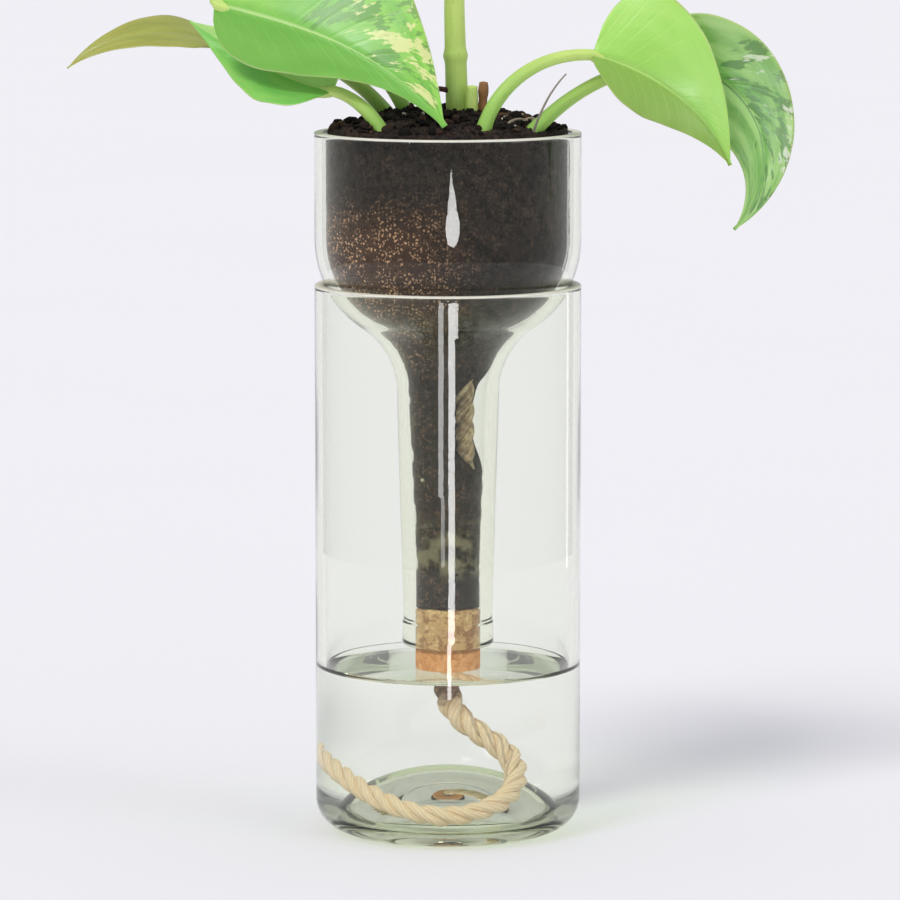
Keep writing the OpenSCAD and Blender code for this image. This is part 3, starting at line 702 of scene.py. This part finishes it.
def soil_mesh(sides=230, rows=250):
    """The neck's right side is left open where the rope lies against the glass."""
    rs, zs, slope = soil_outline(rows)
    verts = []
    for j, (r, z) in enumerate(zip(rs, zs)):
        for k in range(sides):
            a = 2 * math.pi * k / sides
            x, y = r * math.cos(a), r * math.sin(a)
            q = Vector((x, y, z))
            rough = noise.fractal(q * 0.16, 0.9, 2.1, 5)
            lumps = noise.noise(q * 0.55)
            if z > RIM_Z + SOIL_EDGE_H - 1 and r < SOIL_R - 1:
                lift = 0.9 * rough + 0.7 * lumps + 0.5 * noise.noise(q * 1.4)
                verts.append((x, y, z - 0.5 + lift * min(1, (SOIL_R - r) / 3)))
                continue
            dent = max(0.0, 0.16 + 0.75 * rough + 0.5 * lumps)
            if z > RIM_Z - 7:
                dent += 0.5 * max(0.0, noise.noise(q * 0.12) + 0.2) * (z - RIM_Z + 7) / 7
            near = max(0.0, 1 - slope[0][j] * dent / max(r, 0.1))
            angle = math.degrees(a)
            off = apart(angle, OPEN_ANGLE)
            open_here = math.exp(-((z - OPEN_Z) / OPEN_H) ** 4)
            width = (66 + 22 * noise.noise(Vector((z * 0.16, 3.1, 0.0)))) * open_here
            floor_r = 4.4 + 0.045 * apart(angle, LEAN_ANGLE) + 0.6 * noise.noise(q * 0.5)
            if off < width and r > floor_r:
                share = min(1.0, (width - off) / 7) * min(1.0, open_here * 1.6)
                near *= 1 - share * (1 - floor_r / (r * near))
            verts.append((x * near, y * near, z - slope[1][j] * dent))
    ends = [tuple(reversed(range(sides))), tuple((rows - 1) * sides + k for k in range(sides))]
    return verts, ring_faces(rows, sides) + ends


def blob(seed, rings=5, sides=7):
    """Uneven unit lump."""
    verts = [(0, 0, -1)]
    for j in range(1, rings):
        b = math.pi * j / rings
        around = [2 * math.pi * k / sides for k in range(sides)]
        verts += [(math.sin(b) * math.cos(a), math.sin(b) * math.sin(a), -math.cos(b)) for a in around]
    verts.append((0, 0, 1))
    shift = Vector((seed * 7.7, seed, 0))
    out = [np.array(v) * (1 + 0.45 * noise.noise(Vector(v) * 1.3 + shift)) for v in verts]
    top = len(verts) - 1
    faces = fan(0, 1, sides, True) + ring_faces(rings - 1, sides, 1) + fan(top, top - sides, sides, False)
    return np.array(out), faces


def scatter(name, count, sizes, mat, place, stretch=(0.55, 1.0)):
    """Lumps of soil, bark or perlite: place() gives each one's middle and the way it faces."""
    verts, faces, tones = [], [], []
    lumps = [blob(s) for s in range(9)]
    for _ in range(count):
        middle, out = place()
        size = sizes[0] + (sizes[1] - sizes[0]) * rng.random() ** 3
        shape, sheet = lumps[rng.randrange(9)]
        turn = Vector(out).normalized().to_track_quat("Z", "Y").to_matrix()
        spin = rng.random() * 2 * math.pi
        flat = stretch[0] + (stretch[1] - stretch[0]) * rng.random()
        long = 0.7 + 0.6 * rng.random()
        start, tone = len(verts), rng.random()
        for p in shape:
            q = Vector((p[0] * math.cos(spin) - p[1] * math.sin(spin),
                        p[0] * math.sin(spin) + p[1] * math.cos(spin), p[2] * flat))
            q = turn @ Vector((q.x * long, q.y, q.z)) * size
            verts.append((middle[0] + q.x, middle[1] + q.y, middle[2] + q.z))
            tones.append(tone)
        faces += [tuple(start + i for i in f) for f in sheet]
    add_piece(name, verts, faces, mat, "plant", attributes={"tone": np.array(tones)})


def on_mound():
    r = (SOIL_R - 1.4) * math.sqrt(rng.random())
    a = rng.random() * 2 * math.pi
    return (r * math.cos(a), r * math.sin(a), mound_z(r) - 0.5 + 0.8 * rng.random()), (0, 0, 1)


inside_line = [p for p in pot_inside(SOIL_GAP, SOIL_Z + 1) if p[1] < RIM_Z - 1]
inside_r, inside_z = np.array(inside_line[::-1]).T


def at_wall():
    z = SOIL_Z + 2 + (RIM_Z - SOIL_Z - 4) * rng.random() ** 0.8
    r = float(np.interp(z, inside_z, inside_r)) - 1.0
    a = rng.random() * 2 * math.pi
    if apart(math.degrees(a), OPEN_ANGLE) < 85 and 98 < z < 136:
        a += math.pi
    return (r * math.cos(a), r * math.sin(a), z), (math.cos(a), math.sin(a), 0)


add_piece("soil_body", *soil_mesh(), SOIL, "plant", "soil", ["soil"])
scatter("soil_crumbs", 620, (0.35, 1.7), CRUMB, on_mound)
scatter("wall_crumbs", 520, (0.3, 1.0), CRUMB, at_wall, (0.35, 0.7))
scatter("perlite", 26, (0.4, 1.0), PERLITE, lambda: on_mound() if rng.random() < 0.5 else at_wall())


# Rope: three strands laid round each other
def rope_mesh(path, darkening, frayed=False, lay=17.0, step=0.55, sides=14):
    points = smooth_path(path, step)
    basis = frames(points)
    count = len(points)
    run = run_along(points)
    verts, faces, marks = [], [], []
    for strand in range(3):
        start = len(verts)
        line = []
        for k in range(count):
            a = 2 * math.pi * (run[k] / lay + strand / 3)
            spread = 1.52 + 0.1 * noise.noise(Vector((run[k] * 0.25, strand * 5, 2)))
            if frayed:
                spread += 0.9 * max(0, (run[k] - run[-1] + 5) / 5) ** 1.5
            d, s, up = basis[k]
            line.append(points[k] + spread * (math.cos(a) * s + math.sin(a) * up))
        for k, (d, s, up) in enumerate(frames(line)):
            thick = 1.42 * (1 + 0.06 * noise.noise(Vector((run[k] * 0.9, strand * 9, 0))))
            if frayed:
                thick *= 1 - 0.35 * max(0, (run[k] - run[-1] + 2) / 2)
            for j in range(sides):
                b = 2 * math.pi * j / sides
                r = thick * (1 + 0.035 * math.sin(7 * b + run[k] * 2.4))
                verts.append(line[k] + r * (math.cos(b) * s + math.sin(b) * up))
                marks.append((run[k] * MM, b, darkening(run[k])))
        faces += ring_faces(count, sides, start)
        for k in (0, count - 1):
            faces += fan(len(verts), start + k * sides, sides, k == 0)
            verts.append(line[k])
            marks.append((run[k] * MM, 0, darkening(run[k])))
    return verts, faces, np.array(marks)


def hairs(path, count, length, offset, step=0.5):
    """Loose cotton fibres that stand off the rope."""
    points = smooth_path(path, step)
    basis = frames(points)
    verts, faces, marks = [], [], []
    for c in range(count):
        k = rng.randrange(2, len(points) - 2)
        d, s, up = basis[k]
        a = rng.random() * 2 * math.pi
        out = math.cos(a) * s + math.sin(a) * up
        lean = out * 0.55 + d * (rng.random() - 0.5) * 2 + 0.4 * (rng.random() - 0.5) * up
        size = length * (0.4 + rng.random())
        start = len(verts)
        for i, t in enumerate((0, 0.3, 0.6, 1)):
            p = points[k] + out * (offset - 0.2) + lean * size * t + out * (0.25 * math.sin(t * 5 + c)) * t
            r = 0.05 * (1 - 0.2 * i)
            for q in ((1, 0), (-0.5, 0.87), (-0.5, -0.87)):
                verts.append(p + r * (q[0] * s + q[1] * up))
                marks.append((k * step * MM, a, 0.0))
        faces += ring_faces(4, 3, start)
        faces += [(start, start + 2, start + 1), (start + 9, start + 10, start + 11)]
    return verts, faces, np.array(marks)


def add_rope(name, made, nodes=()):
    verts, faces, marks = made
    slot = "rope" if nodes else None
    return add_piece(name, verts, faces, ROPE, "planting_pot", slot, nodes, {"rope": marks})


lean = [polar(LEAN * (3 * t * t - 2 * t**3), LEAN_ANGLE, CORK_TOP_Z + ROPE_RISE + t * LEAN_H)
        for t in [k / 8 for k in range(9)]]
core_path = ([(0, 0, CORK_Z), (0, 0, CORK_Z + 7), (0, 0, CORK_Z + 14)] + lean
             + [polar(LEAN, LEAN_ANGLE, z) for z in (100, 115, 130, 142, ROPE_TOP_Z)])
add_rope("rope_held", rope_mesh(core_path, lambda s: 0.6), ["wick_core"])
# The tail is darker over roughly its first 10 mm below the cork.
tail = add_rope("rope_tail", rope_mesh(TAIL, lambda s: max(0.0, min(1.0, 1.15 - s / 9)), True), ["wick_tail"])
add_rope("rope_fuzz", hairs(TAIL, 420, 1.1, 2.9))

# Cork
cork = bpy.data.objects["stopper"]
cork.data.materials.clear()
cork.data.materials.append(CORK)


# Stems
def root_at(share, direction):
    return polar(share * SOIL_R, direction, RIM_Z)


def pitch(a, t):
    return a[0] * (1 - t) * (1 - 2 * t) + a[1] * 4 * t * (1 - t) + a[2] * t * (2 * t - 1)


def bend(start, head, pitches, length, count):
    """Path that leaves start towards head, with its rise at its start, middle and end."""
    points, p = [], np.array(start, float)
    h = np.array(polar(1, head, 0))
    for k in range(count + 1):
        points.append(p.copy())
        a = math.radians(pitch(pitches, (k + 0.5) / count))
        p = p + length / count * (math.cos(a) * h + np.array([0, 0, math.sin(a)]))
    return points


def stem(name, path, radius, mat, slot, replaced, sides=24, seed=0.0, ridges=0.03):
    def shape(t, a):
        uneven = noise.noise(Vector((math.cos(a), math.sin(a), t * 9 + seed)))
        return 1 + ridges * math.sin(5 * a + seed) + 0.05 * uneven

    verts, faces, share, turn = tube(path, radius, sides, shape)
    marks = np.stack([share, turn, share * 0 + seed], axis=1)
    add_piece(name, verts, faces, mat, "plant", slot, replaced, {"stem": marks})


MAIN = bend(root_at(0.09, 0), 0, (93, 91, 88), MAIN_L, 60)
VARIEGATED = bend(root_at(0.37, 141), 192, (71, 32, -4), 72, 60)
FAR = bend(root_at(0.58, 135), 169, (56, 23, -5), 62, 50)
BRIGHT = bend(root_at(0.8, -70), 19, (80, 33, -4), 43, 44)
DROOPING = bend(root_at(0.84, -39), 20, (46, 27, 4), 43, 44)

# The variegated leaf hangs until its tip is just over the soil, and the left stem and leaf rise as it does.
tip_place = VARIEGATED[-1] + 0.8 * VARIEGATED_LEAF_L * np.array(polar(1, -24, 0))
tip_soil_z = mound_z(min(SOIL_R, math.hypot(*tip_place[:2])))
hang_share = (VARIEGATED[-1][2] - tip_soil_z - TIP_GAP) / VARIEGATED_LEAF_L
hang = math.degrees(math.asin(hang_share))
rise = hang_share / 0.43
left_root = VARIEGATED[0] + LEFT_L * np.array((-0.35, -1.276, 0))
LEFT = bend(left_root, 145, (60 * rise, 35 * rise, 9 * rise), LEFT_L, 30)


# Leaves
def outline(t):
    if t <= 0 or t >= 1:
        return 0.03
    return max(0.03, math.sin(math.pi * t**0.55) ** 0.9 * (1 - 0.6 * t) * 1.17)


def leaf(name, base, angles, length, width, upper, mat, slot, seed, rows=64, half_columns=15, wave=0.6):
    """Blade from its heading, three pitches, roll at both ends and the fold of its upper and lower half.

    Gives its midline and the direction of its upper face along it.
    """
    head, p0, p1, p2, roll0, roll1, fold_up, fold_low = angles
    mid = bend(base, head, (p0, p1, p2), length, rows)
    h = math.radians(head)
    columns = [k / half_columns for k in range(-half_columns, half_columns + 1)]
    verts, marks, sides, normals = [], [], [], []
    for j in range(rows + 1):
        t = j / rows
        a = math.radians(pitch((p0, p1, p2), t))
        roll = math.radians(roll0 + (roll1 - roll0) * t)
        flat = np.array([-math.sin(h), math.cos(h), 0])
        up = np.array([-math.sin(a) * math.cos(h), -math.sin(a) * math.sin(h), math.cos(a)])
        side, face = math.cos(roll) * flat + math.sin(roll) * up, math.cos(roll) * up - math.sin(roll) * flat
        normals.append(face)
        row = []
        for c in columns:
            out = abs(c)
            fold = math.radians(fold_up if c > 0 else fold_low)
            half = outline(t) * width * (upper if c > 0 else 1 - upper)
            half *= 1 + 0.03 * wave * noise.noise(Vector((t * 7, 3 if c > 0 else 8, seed))) * out
            w = t * 11 - out * 3.2 * (1 - 0.35 * out)
            relief = -0.25 * math.exp(-(out * half / 0.7) ** 2)
            relief += 0.08 * wave * math.cos(2 * math.pi * w * 13 / 11 * 0.55) * min(1, out * 3) * (1 - out)
            relief += 1.1 * wave * noise.noise(Vector((t * 4.2, c * 1.8, seed))) * out * min(1, half / 8)
            waves = math.sin(2 * math.pi * (t * 4.3 + (0.3 if c > 0 else 0)))
            relief += 0.5 * wave * waves * out**3 * min(1, half / 9)
            point = mid[j] + half * c * math.cos(fold) * side + half * out * math.sin(fold) * face
            row.append((point + relief * face, c, w))
        row_t = 0.5 * LEAF_T * min(1, outline(t) * 6)
        for way, under, line in ((1, 0.0, row), (-1, 1.0, row[::-1])):
            for p, c, w in line:
                verts.append(p + way * face * row_t * (1.0 - 0.75 * abs(c) ** 3))
                marks.append((t, c, w / 11))
                sides.append(under)
    n = 2 * len(columns)
    faces = [(a, d, c, b) for a, b, c, d in ring_faces(rows + 1, n)]
    faces += [tuple(range(n)), tuple(rows * n + k for k in reversed(range(n)))]
    add_piece("blade_" + name, verts, faces, mat, "plant", slot, ["leaf_" + name],
              {"leaf": np.array(marks), "leaf_side": np.array(sides)})
    return mid, normals


def rib_path(path, mid, normals, radius, share=0.9):
    """Petiole that runs on under the leaf as its midrib, just below its upper face."""
    last = int(len(mid) * share)
    low = [p - f * min(1, k / 6) * (0.32 + radius * (1 - k / last) ** 0.8)
           for k, (p, f) in enumerate(zip(mid[:last], normals))]
    return list(path) + low[1:]


def petiole(name, path, mid, normals, seed, mat):
    full = rib_path(path, mid, normals, PETIOLE_RIB_R)
    cut = len(path) / len(full)

    def radius(t):
        if t < cut:
            return PETIOLE_R * (1 - 0.25 * t / cut) * (1 + 0.16 * max(0, 1 - t / cut / 0.12))
        s = (t - cut) / (1 - cut)
        return 1.575 * (1 - s) ** 0.8 * 0.92 + 0.22

    stem("petiole_" + name + "_green", full, radius, mat, "stem", ["petiole_" + name], seed=seed)


# The left leaf's pale low colour is painted light on its inner half, against the shade there.
LEAF_LIGHT = leaf_material(
    "leaf_left", rgb(112, 198, 82), rgb(138, 210, 96), rgb(160, 220, 124), 1.0, 0.15, low=rgb(188, 234, 142))
# The bright leaf's dark olive low colour is a painted shade on its lower half, which faces down.
LEAF_BRIGHT = leaf_material(
    "leaf_bright", rgb(162, 220, 100), rgb(172, 226, 110), rgb(182, 230, 124), 2.0, 0.12,
    mottle=(rgb(126, 190, 82), 0.14), low=rgb(136, 172, 80), rib=rgb(186, 226, 118))
LEAF_GREEN = leaf_material(
    "leaf_variegated", rgb(114, 188, 70), rgb(152, 214, 90), rgb(228, 230, 160), 3.0, 0.46,
    mottle=(rgb(96, 154, 70), 0.5), low=rgb(122, 190, 82), streaks=(0.3, 0.95), rib=rgb(192, 228, 146))
LEAF_UPPER = leaf_material(
    "leaf_upper", rgb(92, 172, 68), rgb(128, 200, 88), rgb(226, 228, 160), 6.0, 0.4,
    mottle=(rgb(86, 146, 70), 0.46))
# The far-left leaf's dull olive colours are a painted shade.
LEAF_OLIVE_SHADE = leaf_material(
    "leaf_far_left", rgb(156, 164, 68), rgb(172, 178, 84), rgb(182, 188, 98), 4.0, 0.15,
    rib=rgb(168, 176, 84))
LEAF_GREY = leaf_material(
    "leaf_drooping", rgb(112, 178, 82), rgb(172, 218, 132), rgb(216, 228, 202), 5.0, 0.42,
    mottle=(rgb(90, 142, 78), 0.5), streaks=(0.2, 0.95), rib=rgb(92, 128, 76))

# Name, petiole, leaf's angles, length, width, share above the midrib, material, slot, seed and detail
LEAVES = (
    ("left", LEFT, (150, 7 * rise, 24 * rise, 26 * rise, -30, -75, 15, 13), LEFT_LEAF_L, 28, 0.51,
     LEAF_LIGHT, "leaf_light", 1.0, {}),
    ("variegated", VARIEGATED, (-24, -0.5 * hang, -0.85 * hang, -2.1 * hang, 66, 51, 5, -25),
     VARIEGATED_LEAF_L, 58, 0.75, LEAF_GREEN, "leaf_green", 3.0, {"rows": 96, "half_columns": 22}),
    ("far_left", FAR, (186, 25, -11, -39, -17, -45, 0, 2), 44, 19, 0.49,
     LEAF_OLIVE_SHADE, "leaf_olive", 4.0, {"wave": 0.15}),
    ("bright", BRIGHT, (1, -15, -37, -69, 40, 100, 25, 25), 51, 42, 0.55,
     LEAF_BRIGHT, "leaf_light", 2.0, {"rows": 72, "half_columns": 18, "wave": 0.35}),
    ("drooping", DROOPING, (-3, 8, -64, -136, 95, 80, 12, 2), 67, 34, 0.5,
     LEAF_GREY, "leaf_grey", 5.0, {"rows": 80, "half_columns": 18}))
for k, (name, path, angles, length, width, upper, mat, slot, seed, detail) in enumerate(LEAVES):
    mid, face = leaf(name, path[-1], angles, length, width, upper, mat, slot, seed, **detail)
    petiole(name, path, mid, face, k + 1.0, OLIVE_STEM if name == "far_left" else PETIOLE)

mid, face = leaf("upper", MAIN[-1], (158, 34, -4, -48, 24, 10, 12, 12), 78, 52, 0.5, LEAF_UPPER, "leaf_green",
                 6.0, rows=96, half_columns=22)
main_full = rib_path(MAIN, mid, face, MAIN_RIB_R)
main_cut = len(MAIN) / len(main_full)


def main_radius(t):
    """Tapers up to the leaf, with two rings, and on along the midrib."""
    if t < main_cut:
        s = t / main_cut
        rings = sum(0.5 * math.exp(-((s - r) / 0.02) ** 2) for r in (0.33, 0.62))
        return MAIN_R * (1 - 0.25 * s) + rings + 0.7 * max(0, 1 - s / 0.1)
    s = (t - main_cut) / (1 - main_cut)
    return MAIN_RIB_R * (1 - s) ** 0.85 + 0.22


stem("main_stem_green", main_full, main_radius, STEM, "stem", ["main_stem"], 32, 7.0, 0.02)
sheath_root = np.array(MAIN[0]) + np.array(polar(MAIN_R + SHEATH_R + SOIL_GAP, -55, 0))
stub_root = sheath_root + np.array(polar(SHEATH_R + STUB_R + SOIL_GAP, 40, 0))
aerial_root = np.array(MAIN[0]) + (0, 0, 0.16 * MAIN_L)
stem("cut_sheath_green", bend(sheath_root, 0, (86, 88, 90), 13, 20), lambda t: SHEATH_R * (1 - 0.25 * t),
     PETIOLE, "stem", ["cut_sheath"], seed=8.0, ridges=0.06)
stem("brown_stub_dry", bend(stub_root, 20, (84, 86, 88), 14, 20),
     lambda t: STUB_R * (1 + 0.12 * math.sin(t * 17)), DRY, "dry_stem", ["brown_stub"], seed=9.0, ridges=0.1)
stem("aerial_root_dark", bend(aerial_root, 196, (30, -10, -78), 17, 26), lambda t: 0.8 * (1 - 0.25 * t), ROOT,
     "root", ["aerial_root"], 12, 10.0)
stem("dry_fibre_grey", bend(root_at(0.94, -44), 12, (72, 62, 44), 20, 30), lambda t: 0.4 * (1 - 0.5 * t),
     FIBRE, "dry_stem", ["dry_fibre"], 10, 11.0, 0.08)

# Fine pale roots near the right edge
for k in range(5):
    a, r = -46 + 9 * k, 24 + 1.6 * (k % 3)
    start = np.array(polar(r, a, mound_z(r) - 0.4))
    path = bend(start, a + 60 + 35 * k, (38, 8, -30), 6 + 1.3 * k, 14)
    stem(f"pale_root_{k}", path, lambda t: 0.42 * (1 - 0.6 * t), WHITE_ROOT, None, (), 8, 20.0 + k)


# Stage
def stage_mesh(name, verts, faces, material_name, colour):
    """Matt piece of the stage."""
    n = Material(material_name, 0.9, Base_Color=colour)
    mesh = bpy.data.meshes.new(name)
    mesh.from_pydata(verts, [], faces)
    mesh.materials.append(n.dress(Roughness=n.step(n.noise(n.place(), 3.0), 0.3, 0.7, 0.85, 0.95)))
    obj = show(name, mesh)
    return obj


def lamp(name, kind, energy, location, target, **settings):
    data = bpy.data.lights.new(name, kind)
    data.energy = energy
    for key, value in settings.items():
        setattr(data, key, value)
    obj = show(name, data)
    obj.location = location
    obj.rotation_euler = (Vector(target) - Vector(location)).to_track_quat("-Z", "Y").to_euler()
    return obj


def hide_from(obj, *rays):
    for ray in rays:
        setattr(obj, "visible_" + ray, False)


def strip_lamp(name, energy, location, target, width, height, shape="RECTANGLE"):
    """Lamp that only gloss mirrors."""
    obj = lamp("strip_" + name, "AREA", energy, location, target, shape=shape, size=width, size_y=height)
    hide_from(obj, "camera", "diffuse", "transmission")
    return obj


HALF_FLOOR, FLOOR_Z = 20, -0.0002
corners = [(x * HALF_FLOOR, y * HALF_FLOOR, FLOOR_Z) for x, y in ((-1, -1), (1, -1), (1, 1), (-1, 1))]
stage_mesh("floor", corners, [(0, 1, 2, 3)], "floor", rgb(246, 245, 250))

world = bpy.data.worlds.new("world")
bpy.context.scene.world = world
world.use_nodes = True
Nodes(world.node_tree).fill(world.node_tree.nodes["Background"],
                            {"Color": (0.86, 0.87, 0.9, 1), "Strength": 0.68})

MIDDLE = (0, 0, 0.1)
lamp("key", "SUN", 1.3, (-1.2, -1.6, 2.4), MIDDLE, angle=math.radians(16), color=(1, 0.98, 0.95))
lamp("fill", "SUN", 0.4, (1.8, -0.9, 1.4), MIDDLE, angle=math.radians(25), color=(0.96, 0.98, 1))

# Dark card round the front, seen only by gloss, so that the walls don't veil the soil
CARD_R, CARD_H = 0.55, 0.4
turns = range(135, 406, 10)
count = len(turns)
card_points = [polar(CARD_R, a, z) for z in (0.0, CARD_H) for a in turns]
card_faces = [(k, k + 1, k + 1 + count, k + count) for k in range(count - 1)]
card = stage_mesh("dark_card", card_points, card_faces, "card", rgb(30, 30, 30))
hide_from(card, "camera", "diffuse", "transmission", "shadow", "volume_scatter")

# Two strips in front that narrow downwards, which only the reservoir and the water mirror, a drop above them
# on the pot, and a strip for the right wall
front = bpy.data.collections.new("reservoir_front")
for name in ("reservoir_glass", "water"):
    front.objects.link(bpy.data.objects[name])
STRIP_Y = -0.26
for name, energy, x, z, width, height in (
        ("right", 0.32, 0.013, 0.0757, 0.024, 0.1107), ("right_top", 0.0156, 0.031, 0.1252, 0.012, 0.0115),
        ("right_end", 0.03, 0.005, 0.0117, 0.015, 0.0173), ("left", 0.078, -0.0255, 0.1, 0.019, 0.062),
        ("left_end", 0.014, -0.019, 0.0575, 0.014, 0.0233), ("drop_low", 0.06, 0.018, 0.1548, 0.052, 0.0125),
        ("drop_middle", 0.044, 0.0155, 0.1598, 0.03, 0.0175), ("drop_top", 0.012, 0.012, 0.167, 0.012, 0.014)):
    shape = "ELLIPSE" if name.startswith("drop") else "RECTANGLE"
    strip = strip_lamp(name, energy, (x, STRIP_Y, z), (x, 0, z), width, height, shape)
    if shape == "RECTANGLE":
        strip.light_linking.receiver_collection = front
strip_lamp("side", 0.07, (0.42, 0.27, 0.15), MIDDLE, 0.03, 0.3)
